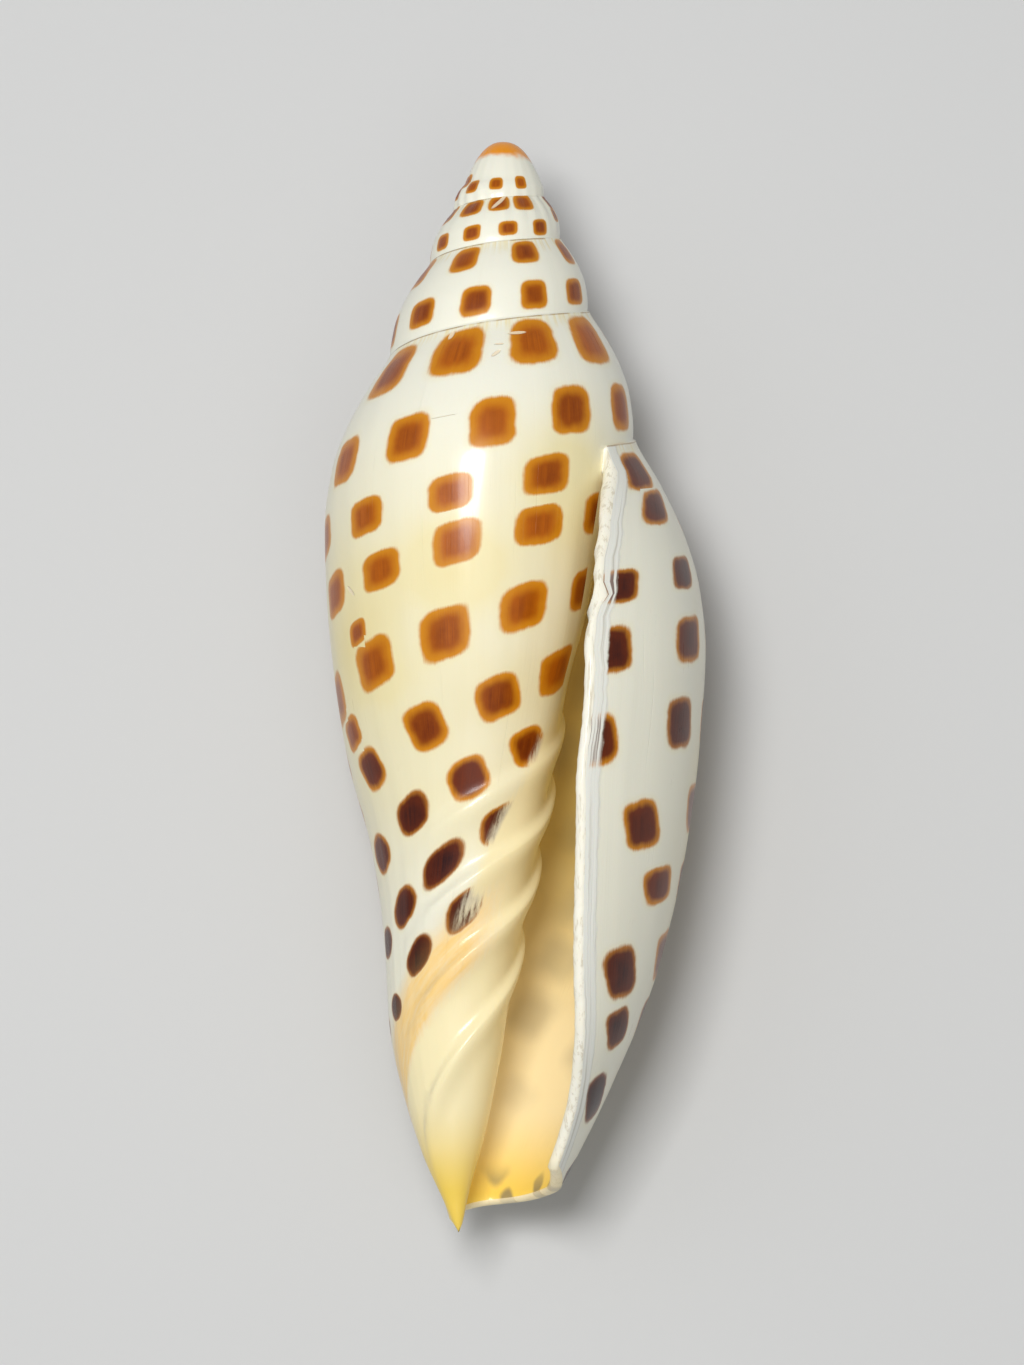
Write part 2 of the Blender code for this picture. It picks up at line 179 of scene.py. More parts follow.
# Nicks healed into the surface: angle, depth, length, width, turn in degrees
NICKS = (
    (-8.0, 19.2, 1.9, 0.32, 8.0),
    (27.0, 19.4, 0.9, 0.5, 70.0),
    (63.0, 42.6, 1.7, 0.42, -38.0),
    (2.0, 21.3, 1.1, 0.35, 40.0),
    (-716.0, 6.2, 2.2, 0.4, 50.0),
    (160.0, 26.8, 5.2, 0.22, 78.0),
    (158.0, 33.2, 2.4, 0.22, 60.0),
    (-560.0, 9.2, 2.6, 0.5, 24.0),
    (-600.0, 12.5, 2.2, 0.45, -20.0),
    (-247.0, 14.6, 2.2, 0.5, 30.0),
)

# Where the glaze on the pillar ends: depth, angle
GLAZE_LINE = ((46.0, -60.0), (52.0, -50.0), (55.0, -38.0), (60.0, -25.0), (63.0, -16.0), (70.0, -4.0),
              (76.0, 8.0))

# Straw coloured patches: angle, depth, half width in degrees, half height
STRAW_PATCHES = (
    (62.0, 46.5, 24.0, 7.0),
    (15.0, 41.0, 20.0, 4.0),
    (-30.0, 33.0, 20.0, 6.0),
    (222.0, 29.0, 16.0, 2.2),
    (250.0, 62.0, 30.0, 8.0),
    (160.0, 70.0, 25.0, 6.0),
)

# Soft lights: name, whose power it takes, size, azimuth, elevation, distance, metres and degrees
LIGHTS = (
    ("key", "key", 0.16, -60.0, 83.0, 0.55),
    ("fill", "fill", 0.45, -75.0, 48.0, 0.6),
    ("base", "fill", 0.30, 150.0, 66.0, 0.6),
)
FLOOR_RADIUS = 3.0           # metres
PHOTO_LEAN = 1.36            # degrees by which the axis leans to the right in the picture
PHOTO_PITCH = 6.0            # degrees by which the base end is nearer the camera


def outline(points):
    """A smooth curve through a few points that never overshoots them."""
    x = np.array([p[0] for p in points], float)
    y = np.array([p[1] for p in points], float)
    h = np.diff(x)
    slope = np.diff(y) / h
    tangent = np.zeros_like(x)
    tangent[0] = slope[0]
    tangent[-1] = slope[-1]
    for i in range(1, len(x) - 1):
        if slope[i - 1] * slope[i] > 0:
            a = 2 * h[i] + h[i - 1]
            b = h[i] + 2 * h[i - 1]
            tangent[i] = (a + b) / (a / slope[i - 1] + b / slope[i])

    def curve(value):
        value = np.clip(value, x[0], x[-1])
        i = np.clip(np.searchsorted(x, value, side="right") - 1, 0, len(x) - 2)
        u = (value - x[i]) / h[i]
        return (y[i] * (1 + 2 * u) * (1 - u) ** 2 + y[i + 1] * u * u * (3 - 2 * u)
                + tangent[i] * h[i] * u * (1 - u) ** 2 - tangent[i + 1] * h[i] * u * u * (1 - u))

    return curve


whorl_radius = outline(WHORL)
pillar_radius = outline(PILLAR)
pillar_middle = outline(PILLAR_MIDDLE)
base_edge = outline(BASE_EDGE)
hollow_floor = outline(HOLLOW_FLOOR)
lip_sweep = outline(LIP_SWEEP)


def ease(value, start, end):
    """0 before start, 1 after end, smooth between."""
    t = np.clip((value - start) / (end - start), 0.0, 1.0)
    return t * t * (3 - 2 * t)


def bell(value, middle, width):
    return np.exp(-((value - middle) / width) ** 2)


def either(a, b, sharpness=8.0):
    """The larger of two radii, with a rounded meeting."""
    return (a ** sharpness + b ** sharpness) ** (1 / sharpness)


def pitch_at(angle):
    return TURN_PITCH ** ((angle - 270.0) / 360.0)


def girth_at(angle):
    return TURN_GIRTH ** ((angle - 270.0) / 360.0)


def suture(angle):
    return SUTURE_DEPTH * pitch_at(angle)


def wall_radius(angle, z):
    """Radius of the coiled wall about the coiling axis."""
    age = z / pitch_at(angle)
    cone = SUTURE_RADIUS * (np.maximum(z, 1e-6) / SUTURE_DEPTH) ** SPIRE_POWER
    dome = np.sqrt(APEX_ROUNDING * np.maximum(z, 0.0))
    blunt = either(cone, dome) / cone
    narrow = 1 - 0.65 * ease(angle, CANAL_ANGLE, 220.0)
    closing = 1 - narrow * np.clip((z - 80.3) / 19.7, 0.0, 1.0) ** 2
    worn = 1 - 0.2 * ease(-angle, 30.0, 90.0) * ease(age, 48.0, 66.0)
    return girth_at(angle) * whorl_radius(age) * blunt * closing * worn


def folds(angle, z):
    """The ridges that wind round the pillar, one below the other."""
    height = 0.0
    for depth, crest in zip(FOLD_DEPTHS, FOLD_HEIGHT):
        line = depth * TURN_PITCH ** ((angle - FOLD_ANGLE) / 360.0)
        away = (z - line) / FOLD_WIDTH
        upper = np.exp(-np.minimum(away, 0) ** 2 * 1.6)
        lower = np.exp(-np.maximum(away, 0) ** 2 / 3.2)
        height = height + crest * np.where(away < 0, upper, lower)
    fade = 1 - ease(angle, *FOLD_FADE)
    inner = 0.45 + 0.55 * ease(angle, -330.0, -120.0)
    return height * fade * inner * ease(z, 48.0, 54.0)


def radius(angle, z):
    """Radius of the whorls and the pillar about the pillar's middle."""
    middle = pillar_middle(z)
    drift = TIP_DRIFT * np.clip((z - 64.0) / (LENGTH - 64.0), 0.0, 1.0) ** 1.6
    wall = wall_radius(angle, z) + (drift + middle) * np.sin(np.radians(angle))
    inner = 0.6 ** (np.clip(-90.0 - angle, 0.0, 400.0) / 180.0)
    pillar = pillar_radius(z) * inner
    return either(np.maximum(wall, 0.0), pillar) + folds(angle, z)


def relief(growth, angle, z):
    """Low relief of the outside: ribs of the first whorl, growth swellings and old lip lines."""
    rib = RIB_HEIGHT * np.cos(np.radians(angle) * RIBS_PER_TURN) * bell(z, *RIB_DEPTH)
    wave = np.sin(growth * 0.27 + 1.3 * np.sin(z * 0.11)) + 0.6 * np.sin(growth * 0.53 + 0.19 * z)
    size = ease(z, 10.0, 30.0) * (1 - ease(z, 75.0, 98.0))
    size = size * (1 - ease(z, 46.0, 54.0) * (1 - ease(angle, 0.0, 40.0)))
    lines = sum(bell(growth, line, 0.9) for line in ARREST_ANGLES)
    return rib + size * (0.5 * SWELL * wave + ARREST_HEIGHT * lines * ease(z, 26.0, 36.0))


def ledge(growth, z):
    """The upper edge of a whorl, a little proud of the whorl that it lies on."""
    start = suture(growth)
    width = LEDGE_WIDTH * girth_at(growth)
    return LEDGE * girth_at(growth) * np.exp(-np.maximum(z - start, 0.0) / width)


def outer_radius(growth, angle, z):
    return radius(angle, z) + relief(growth, angle, z) + ledge(growth, z)


def buried_radius(angle, z):
    """The previous whorl and the pillar, where the mouth shows them."""
    relieved = relief(angle, angle, z) * ease(angle, MOUTH_ANGLE - 20.0, MOUTH_ANGLE)
    return radius(angle, z) + relieved + ledge(angle, z)


def place(angle, z, r):
    """Shell frame to world frame before the shell is rolled to rest, metres."""
    t = np.radians(angle)
    x = pillar_middle(z) - r * np.sin(t)
    y = -z + LENGTH / 2
    d = r * np.cos(t)
    return np.stack([x + 0 * z, y + 0 * t, d + 0 * z], axis=-1) * MM


def suture_point(angle):
    z = suture(angle)
    return place(angle, z, outer_radius(angle, angle, z))


def chips(z):
    """The broken wandering of the lip's edge, in degrees."""
    wander = np.sin(z * 2.1) + 0.7 * np.sin(z * 4.7 + 1.0) + 0.5 * np.sin(z * 9.3 + 0.4)
    bite = -1.3 * bell(z, 43.6, 0.8) - 0.9 * bell(z, 46.4, 0.5) + 0.8 * bell(z, 40.5, 1.6)
    upper = ease(z, 31.6, 34.0) * (1 - 0.72 * ease(z, 47.0, 56.0))
    return CHIP_DEPTH * (0.32 * wander * upper + bite)


def lip_lead(growth, z):
    """How far the surface runs ahead of its column, most of all at the lip."""
    broken = chips(z) * ease(growth, LIP_ANGLE - 7.0, LIP_ANGLE)
    return lip_sweep(z) * ease(growth, 190.0, LIP_ANGLE) + broken


def bottom(growth):
    """Lowest point of the outer surface in each column."""
    if growth <= CANAL_ANGLE:
        return LENGTH
    return float(base_edge(growth))


def hollow_bottom(growth):
    if growth <= CANAL_ANGLE:
        return float(hollow_floor(growth))
    return float(base_edge(growth))


def shoulder_ages():
    """Rows between two sutures, closer together at both."""
    share = np.linspace(0.0, 1.0, SHOULDER_COUNT + 1)
    share = 0.72 * share + 0.28 * (3 * share ** 2 - 2 * share ** 3)
    share = np.insert(share, [1, SHOULDER_COUNT], [share[1] * 0.35, 1 - share[1] * 0.2])
    return SUTURE_DEPTH * (1 + (TURN_PITCH - 1) * share)


def row_ages():
    """Row positions down the pillar: above, on and between the folds."""
    top = MOUTH_TOP * SUTURE_DEPTH * TURN_PITCH
    scale = TURN_PITCH ** ((270.0 - FOLD_ANGLE) / 360.0)
    first = (FOLD_DEPTHS[0] - 2.4) * scale
    ages = list(top + (first - top) * np.array([0.0, 0.22, 0.46, 0.72, 1.0]))
    for i, depth in enumerate(FOLD_DEPTHS):
        ages.append(depth * scale)
        following = FOLD_DEPTHS[i + 1] if i + 1 < len(FOLD_DEPTHS) else depth * 1.1
        ages.append((0.42 * depth + 0.58 * following) * scale)
        if i + 1 < len(FOLD_DEPTHS):
            ages.append((0.16 * depth + 0.84 * following) * scale)
    ages.extend(ages[-1] + np.array([8.0, 16.0, 24.0, 32.0, 40.0]))
    steps = np.arange((len(ages) - 1) * ROW_PARTS + 1) / ROW_PARTS
    return np.interp(steps, np.arange(len(ages)), ages)


SHOULDER = shoulder_ages()
ROWS = row_ages()


def body_rows(growth, floor):
    """Depths of the rows below the mouth's top corner, which follow the folds."""
    top = ROWS[0]
    last = FOLD_DEPTHS[-1] * TURN_PITCH ** ((270.0 - FOLD_ANGLE) / 360.0) * 1.05
    follow = ROWS * pitch_at(growth)
    high = follow[ROWS <= last][-1]
    below = ROWS > last
    count = below.sum()
    follow[below] = high + (floor - high) * (np.arange(count) + 1) / count
    share = (ROWS - top) / (ROWS[-1] - top)
    evenly = top * pitch_at(growth) + (floor - top * pitch_at(growth)) * share
    blend = ease(growth, 15.0, 75.0)
    return follow * (1 - blend) + evenly * blend


def corner_depths(growth):
    """Rows across the top corner of the mouth."""
    return suture(growth) * (1 + (MOUTH_TOP - 1) * np.arange(LIP_STEPS + 1) / LIP_STEPS)


def outer_depths(growth):
    """Depths of the outer surface's rows from the suture to the lower edge."""
    top = SHOULDER * pitch_at(growth)
    corner = corner_depths(growth + 360.0)[1:]
    rest = body_rows(growth, bottom(growth))[1:]
    return np.concatenate([top, corner, rest])


# Kinds of surface, told apart by the finish
OUTSIDE, PILLAR_SIDE, INSIDE, EDGE = 0.0, 1.0, 2.0, 3.0


def tagged(points, growth, angle, z, kind):
    """Points with what the finish needs to know about each: growth, angle, depth, kind."""
    tags = np.zeros((len(points), 4))
    tags[:, 0] = growth
    tags[:, 1] = angle
    tags[:, 2] = z
    tags[:, 3] = kind
    return points, tags


def outer_column(growth):
    """The outer surface at one growth angle, from the suture down."""
    z = outer_depths(growth)
    angle = growth + lip_lead(growth, z)
    points = place(angle, z, outer_radius(growth, angle, z))
    points[0] = suture_point(growth)
    if growth < MOUTH_ANGLE + 0.1:
        corner = len(SHOULDER) - 1
        points[corner] = suture_point(growth + 360.0)
    return tagged(points, growth, angle, z, OUTSIDE)


def inner_pillar_column(growth):
    """The previous whorl and the pillar inside the mouth."""
    floor = LENGTH if growth + 360.0 > CANAL_ANGLE else hollow_bottom(growth + 360.0)
    z = body_rows(growth, floor)
    return tagged(place(growth, z, buried_radius(growth, z)), growth, growth, z, PILLAR_SIDE)


def roundness(z, top, floor, closed):
    """How far the hollow has opened: 0 at its corners, 1 between them."""
    span = floor - top
    rise = np.clip((z - top) / (0.10 * span), 0.0, 1.0)
    opened = np.sqrt(1 - (1 - rise) ** 2)
    fall = np.clip((floor - z) / (0.16 * span), 0.0, 1.0)
    shut = np.sqrt(1 - (1 - fall) ** 2)
    return opened * (shut * closed + (1 - closed))


def inner_wall_column(growth):
    """The inside of the outer wall, row by row with the outside."""
    top = MOUTH_TOP * suture(growth)
    floor = hollow_bottom(growth)
    depths = outer_depths(growth)
    z = top + (depths - depths[0]) * (floor - top) / (depths[-1] - depths[0])
    angle = growth + lip_lead(growth, z)
    outside = radius(angle, z)
    inside = buried_radius(angle - 360.0, z)
    wall = (WALL + (LIP_WALL - WALL) * ease(growth, 250.0, LIP_ANGLE)) * girth_at(growth) ** 0.5
    wall = np.minimum(wall, 0.55 * (outside - inside))
    closed = 1 - ease(growth, CANAL_ANGLE, CANAL_ANGLE + 30.0)
    gap = (outside - wall - inside) * roundness(z, top, floor, closed)
    return tagged(place(angle, z, inside + gap), growth, angle, z, INSIDE)


class Sheet:
    """A grid whose lines are the columns of a surface."""

    def __init__(self, mesh, columns):
        self.columns = columns
        tall = len(columns[0][0]) - 1
        wide = len(columns) - 1
        grid = bmesh.ops.create_grid(mesh, x_segments=wide, y_segments=tall, size=1.0)
        tag = mesh.verts.layers.float_color["place"]
        for vert in grid["verts"]:
            i = round((vert.co.x + 1.0) / 2.0 * wide)
            j = round((vert.co.y + 1.0) / 2.0 * tall)
            points, tags = columns[i]
            vert.co = points[j]
            vert[tag] = tags[j]


def sweep(mesh, column, steps):
    return Sheet(mesh, [column(growth) for growth in steps])


def angles(start, end, step=COLUMN_STEP):
    count = int(round(abs(end - start) / step))
    return np.linspace(start, end, count + 1)


def inward_angles(start):
    """Columns from the lip into the mouth, wider apart in the dark."""
    near = angles(start, start - DEEP_AFTER)
    deep = angles(start - DEEP_AFTER, start - MOUTH_DEPTH_TURN, DEEP_STEP)
    return np.concatenate([near, deep[1:]])


def spire_sheets(mesh):
    """The whorls above the body whorl, and the smooth cap of the first one."""
    first = 270.0 + 360.0 * np.log(APEX_DOME / SUTURE_DEPTH) / np.log(TURN_PITCH)
    turns = np.round((MOUTH_ANGLE - first) / COLUMN_STEP)
    first = MOUTH_ANGLE - turns * COLUMN_STEP
    dome = suture(first)
    fit = radius(first, dome) / radius(first - 360.0, dome)

    def first_turn(growth):
        return fit + (1 - fit) * min(1.0, (growth - first + 360.0) / 360.0)

    def raised(growth, z):
        rise = relief(growth, growth, z) * ease(growth, first - 300.0, first)
        return rise + ledge(growth, z) * ease(growth, first - 60.0, first + 60.0)

    def whorl(growth):
        z = SHOULDER * pitch_at(growth)
        if growth < first:
            share = (SHOULDER - SUTURE_DEPTH) / (SUTURE_DEPTH * (TURN_PITCH - 1))
            z = dome + (z[-1] - dome) * share
        points = place(growth, z, radius(growth, z) * first_turn(growth) + raised(growth, z))
        if growth > first + 60.0:
            points[0] = suture_point(growth)
        if growth + 360.0 > first + 60.0:
            points[-1] = suture_point(growth + 360.0)
        else:
            low = z[-1]
            edge = radius(growth + 360.0, low) * first_turn(growth + 360.0)
            points[-1] = place(growth, low, edge + raised(growth + 360.0, low))
        return tagged(points, growth, growth, z, OUTSIDE)

    heights = np.linspace(0.0, 1.0, CAP_ROWS) ** 2

    def cap(growth):
        edge = whorl(growth)[0][0]
        rim = np.linalg.norm(edge[[0, 2]] / MM - np.array([pillar_middle(dome), 0.0]))
        points = place(growth, dome * heights, rim * heights ** DOME_POWER)
        points[-1] = edge
        return tagged(points, growth, growth, dome * heights, OUTSIDE)

    sweep(mesh, whorl, angles(first - 360.0, MOUTH_ANGLE))
    sweep(mesh, cap, angles(first - 360.0, first))


def arc(outer, inner, push):
    """A rounded edge from an outer tagged point to an inner one, bulging by push."""
    (top, top_tag), (low, low_tag) = outer, inner
    turn = np.linspace(0.0, math.pi, LIP_STEPS + 1)[:, None]
    middle = (top + low) / 2
    points = middle + (top - low) / 2 * np.cos(turn) + push * np.sin(turn)
    share = np.linspace(0.0, 1.0, LIP_STEPS + 1)[:, None]
    tags = top_tag * (1 - share) + low_tag * share
    tags[:, 3] = EDGE
    return points, tags


def edge_strips(mesh, body, wall):
    """The lip's edge and the notched lower edge, rounded over the wall's thickness."""
    down = np.array([0.0, -1.0, 0.0])
    outer, outer_tags = body.columns[-1]
    inner, inner_tags = wall.columns[0]
    ahead = outer - body.columns[-2][0]
    ahead /= np.linalg.norm(ahead, axis=1)[:, None]
    thick = np.linalg.norm(outer - inner, axis=1)
    grown = np.clip((outer_tags[:, 2] - outer_tags[0, 2]) / 3.0, 0.0, 1.0)
    push = ahead * (0.35 * thick * grown)[:, None]
    push[-1] += down * 0.35 * thick[-1]
    lip = []
    for i, shove in enumerate(push):
        lip.append(arc((outer[i], outer_tags[i]), (inner[i], inner_tags[i]), shove))
    z = corner_depths(LIP_ANGLE)
    corner = place(MOUTH_ANGLE, z, outer_radius(MOUTH_ANGLE, MOUTH_ANGLE, z))
    corner[0] = suture_point(LIP_ANGLE)
    corner[-1] = inner[0]
    lip[0] = (corner, lip[0][1])
    Sheet(mesh, lip)
    beads = []
    for k, growth in enumerate(angles(LIP_ANGLE, CANAL_ANGLE)):
        above, above_tags = body.columns[-1 - k]
        under, under_tags = inner_wall_column(growth)
        if k == 0:
            bead = lip[-1]
        else:
            reach = np.linalg.norm(above[-1] - under[-1])
            bead = arc((above[-1], above_tags[-1]), (under[-1], under_tags[-1]), down * 0.35 * reach)
        beads.append(bead)
    Sheet(mesh, beads)


def close_hollow(mesh, pillar, wall):
    """Round off the inner end of the hollow."""
    loop = list(wall.columns[-1][0]) + list(pillar.columns[-1][0][1:-1][::-1])
    points = np.array(loop)
    tag = wall.columns[-1][1][0]
    centre = points.mean(axis=0)
    half = len(wall.columns[-1][0]) // 2
    forward = wall.columns[-1][0][half] - wall.columns[-2][0][half]
    forward /= np.linalg.norm(forward)
    tags = np.tile(tag, (len(points) + 1, 1))

    def ring(size, shift):
        moved = centre + (points - centre) * size + forward * shift * MM
        return np.concatenate([moved, moved[:1]]), tags

    rings = ((1.0, 0.0), (0.8, 0.7), (0.45, 1.1), (0.0, 1.25))
    Sheet(mesh, [ring(size, shift) for size, shift in rings])


def rest_turn():
    """From the shell's own axes to how it lies."""
    return Matrix.Rotation(math.radians(PITCH), 4, "X") @ Matrix.Rotation(math.radians(ROLL), 4, "Y")


def set_down(mesh):
    """Turn the shell to its balance, set it on the ground and flatten where it touches."""
    bmesh.ops.transform(mesh, matrix=rest_turn(), verts=mesh.verts)
    co = np.array([v.co for v in mesh.verts])
    low, high = co.min(axis=0), co.max(axis=0)
    middle = (SOLID_BOX[0] + SOLID_BOX[1]) / 2
    shift = Vector((middle.x - (low[0] + high[0]) / 2, middle.y - (low[1] + high[1]) / 2,
                    -low[2] - REST_SPOT_DEPTH * MM))
    bmesh.ops.translate(mesh, vec=shift, verts=mesh.verts)
    everything = mesh.verts[:] + mesh.edges[:] + mesh.faces[:]
    cut = bmesh.ops.bisect_plane(mesh, geom=everything, dist=1e-8, plane_co=(0, 0, 0),
                                 plane_no=(0, 0, -1), clear_outer=True)
    rim = [item for item in cut["geom_cut"] if isinstance(item, bmesh.types.BMEdge)]
    tag = mesh.loops.layers.float_color["place"]
    known = {loop.vert: loop[tag].copy() for edge in rim for loop in edge.link_loops}
    for edge in rim:
        for loop in edge.link_loops:
            known[loop.link_loop_next.vert] = loop.link_loop_next[tag].copy()
    spot = bmesh.ops.edgeloop_fill(mesh, edges=rim)["faces"]
    for face in spot:
        for loop in face.loops:
            loop[tag] = known[loop.vert]


def tag_corners(mesh):
    """Each face corner keeps its own tags, so that a seam can be merged."""
    source = mesh.verts.layers.float_color["place"]
    target = mesh.loops.layers.float_color.new("place")
    for face in mesh.faces:
        for loop in face.loops:
            loop[target] = loop.vert[source]
    mesh.verts.layers.float_color.remove(source)


def shell_mesh():
    mesh = bmesh.new()
    mesh.verts.layers.float_color.new("place")
    spire_sheets(mesh)
    body = sweep(mesh, outer_column, angles(MOUTH_ANGLE, LIP_ANGLE))
    pillar = sweep(mesh, inner_pillar_column, inward_angles(MOUTH_ANGLE))
    wall = sweep(mesh, inner_wall_column, inward_angles(LIP_ANGLE))
    edge_strips(mesh, body, wall)
    close_hollow(mesh, pillar, wall)
    tag_corners(mesh)
    bmesh.ops.remove_doubles(mesh, verts=mesh.verts, dist=MERGE)
    bmesh.ops.dissolve_degenerate(mesh, edges=mesh.edges, dist=MERGE / 4)
    bmesh.ops.recalc_face_normals(mesh, faces=mesh.faces)
    set_down(mesh)
    data = bpy.data.meshes.new("shell_skin")
    mesh.to_mesh(data)
    mesh.free()
    data.shade_smooth()
    return data


def row_angles(first, last, count, bow, sway):
    """Where the spots of one row stand: evenly, then shifted by two slow waves."""
    share = np.linspace(0.0, 1.0, count)
    even = first + (last - first) * share
    return even + bow * np.sin(math.pi * share) + sway * np.sin(math.tau * share)


def spot_list():
    """Every spot on the outside: angle, depth, half width, half height, tone."""
    random = np.random.default_rng(SEED)
    spots = []

    def add(angle, age, width, height):
        z = age * pitch_at(angle)
        wide = 0.5 * width * random.uniform(0.92, 1.08)
        high = 0.5 * height * random.uniform(0.92, 1.08)
        tone = darkness(angle, z) + random.uniform(-0.14, 0.14)
        spots.append((angle, z, wide, high, float(np.clip(tone, 0.0, 1.0))))

    for row in SPOT_ROWS:
        front, back, first, last, count, bow, sway, width, front_height, back_height, start = row
        for angle in row_angles(first, last, count, bow, sway):
            bend = ease(angle, *ROW_BEND)
            grown = start + (1 - start) * ease(angle - first, 0.0, 45.0)
            wide = width * grown * (1 + BACK_WIDENING * bell(angle, 195.0, 70.0))
            high = grown * (front_height + (back_height - front_height) * bend)
            age = (front + (back - front) * bend) * (1 - LIP_RISE * ease(angle, *LIP_RISE_ANGLES))
            add(angle, age + random.uniform(-0.3, 0.3), wide, high)
    for age, first, last, count, bow, sway, width, height in SPIRE_ROWS:
        for angle in row_angles(first, last, count, bow, sway)[:-1]:
            scale = (radius(angle, age * pitch_at(angle)) / SPOT_RADIUS) ** 0.75
            add(angle, age + random.uniform(-0.4, 0.4), width * scale, height * scale)
    return spots


def darkness(angle, z):
    """How dark the spots are: amber at the front, brown at the back, near black at the base."""
    back = ease(angle, 70.0, 150.0)
    base = 0.75 * ease(z, 48.0, 66.0) * (1 - back) + 0.45 * ease(z, 76.0, 94.0) * back
    spire = ease(-angle, 60.0, 100.0) * (0.16 - 0.14 * np.cos(np.radians(angle)))
    return 0.08 + 0.45 * back + 0.12 * ease(angle, 280.0, 300.0) + base + spire


def read_corners(data):
    count = len(data.loops)
    values = np.zeros(count * 4, np.float32)
    data.attributes["place"].data.foreach_get("color", values)
    data.attributes.remove(data.attributes["place"])
    starts = np.zeros(len(data.polygons), np.int32)
    totals = np.zeros(len(data.polygons), np.int32)
    data.polygons.foreach_get("loop_start", starts)
    data.polygons.foreach_get("loop_total", totals)
    return values.reshape(-1, 4).astype(float), starts, totals


def store(data, name, values):
    """A value or three for each face corner."""
    shape = "FLOAT" if values.ndim == 1 else "FLOAT_VECTOR"
    field = "value" if values.ndim == 1 else "vector"
    attribute = data.attributes.new(name, shape, "CORNER")
    attribute.data.foreach_set(field, values.astype(np.float32).ravel())


def spot_frame(spot, growth, angle, z):
    """Where points lie in a spot's own square, its sides at 1."""
    centre, depth, wide, high, _ = spot
    scale = math.radians(1.0) * float(radius(centre, depth))
    slope = depth * math.log(TURN_PITCH) / 360.0 / scale
    lead = angle - growth
    own = lip_sweep(depth) * ease(centre - 8.0, 190.0, LIP_ANGLE)
    along = (angle - centre - (lead - own)) * scale
    down = z - depth
    lean = slope * ease(depth, *SPOT_TURN_DEPTH)
    lean = lean - FOLD_LEAN * ease(depth, 56.0, 70.0) * (1 - ease(centre, 30.0, 90.0))
    return (along + lean * down) / wide, (down - slope * along) / high


def paint_spots(tags, starts, totals):
    """For each face the square of its nearest spot, read at the face's corners."""
    owner = np.repeat(np.arange(len(starts)), totals)
    middle = np.zeros((len(starts), 4))
    for k in range(4):
        middle[:, k] = np.bincount(owner, weights=tags[:, k]) / totals
    marked = (middle[:, 1] < 360.0) & (middle[:, 3] != PILLAR_SIDE)
    best = np.full(len(starts), 1e9)
    chosen = np.zeros(len(starts), int)
    spots = spot_list()
    for index, spot in enumerate(spots):
        near = marked & (np.abs(middle[:, 1] - spot[0]) < 40.0) & (np.abs(middle[:, 2] - spot[1]) < 9.0)
        x, y = spot_frame(spot, middle[near, 0], middle[near, 1], middle[near, 2])
        away = (np.abs(x) ** 3 + np.abs(y) ** 3) ** (1 / 3)
        away = (away - 1) * min(spot[2], spot[3])
        better = away < best[near]
        where = np.flatnonzero(near)[better]
        best[where] = away[better]
        chosen[where] = index
    local = np.full((len(tags), 3), 5.0)
    corner_spot = chosen[owner]
    corner_marked = (marked & (best < 1e8))[owner]
    for index, spot in enumerate(spots):
        mine = corner_marked & (corner_spot == index)
        x, y = spot_frame(spot, tags[mine, 0], tags[mine, 1], tags[mine, 2])
        local[mine] = np.stack([x, y, np.full(len(x), spot[4])], axis=1)
    return local


def squareness(angle, z):
    """Power of a spot's outline: squarish, and rounder low on the front."""
    return 3.6 - 1.3 * ease(z, 52.0, 68.0) * (1 - ease(angle, 100.0, 150.0))


def paint_nicks(tags):
    """Position along and across the nearest healed nick, and the squareness of the spots."""
    local = np.full((len(tags), 3), 5.0)
    local[:, 2] = squareness(tags[:, 1], tags[:, 2])
    best = np.full(len(tags), 1e9)
    for angle, depth, length, width, turn in NICKS:
        scale = math.radians(1.0) * float(radius(angle, depth))
        near = (tags[:, 3] < INSIDE) & (np.abs(tags[:, 1] - angle) * scale < 6.0)
        near &= np.abs(tags[:, 2] - depth) < 6.0
        x = -(tags[near, 1] - angle) * scale
        y = depth - tags[near, 2]
        c, s = math.cos(math.radians(turn)), math.sin(math.radians(turn))
        along = (x * c + y * s) / (0.5 * length)
        across = (y * c - x * s) / (0.5 * width)
        away = np.hypot(along, across)
        better = away < best[near]
        where = np.flatnonzero(near)[better]
        best[where] = away[better]
        local[where, 0] = along[better]
        local[where, 1] = across[better]
    return local


def glaze_line(z):
    """Angle right of which the pillar's glaze covers the spots."""
    depths, line = zip(*GLAZE_LINE)
    return np.interp(z, depths, line)


def creaminess(angle, z):
    """Warmest in the middle of the body whorl, paler at its base on the front and at the lip."""
    front = 1 - ease(angle, 100.0, 150.0)
    cream = ease(z, 22.0, 42.0) * (0.55 + 0.45 * ease(z, 44.0, 58.0))
    cream = cream * (1 - 0.75 * ease(z, 60.0, 74.0) * front) * (1 - 0.35 * ease(z, 48.0, 56.0) * front)
    cream = cream * (1 - 0.9 * ease(angle, 262.0, 300.0))
    for patch_angle, patch_depth, half_width, half_height in STRAW_PATCHES:
        cream = cream + bell(angle, patch_angle, half_width) * bell(z, patch_depth, half_height)
    return cream


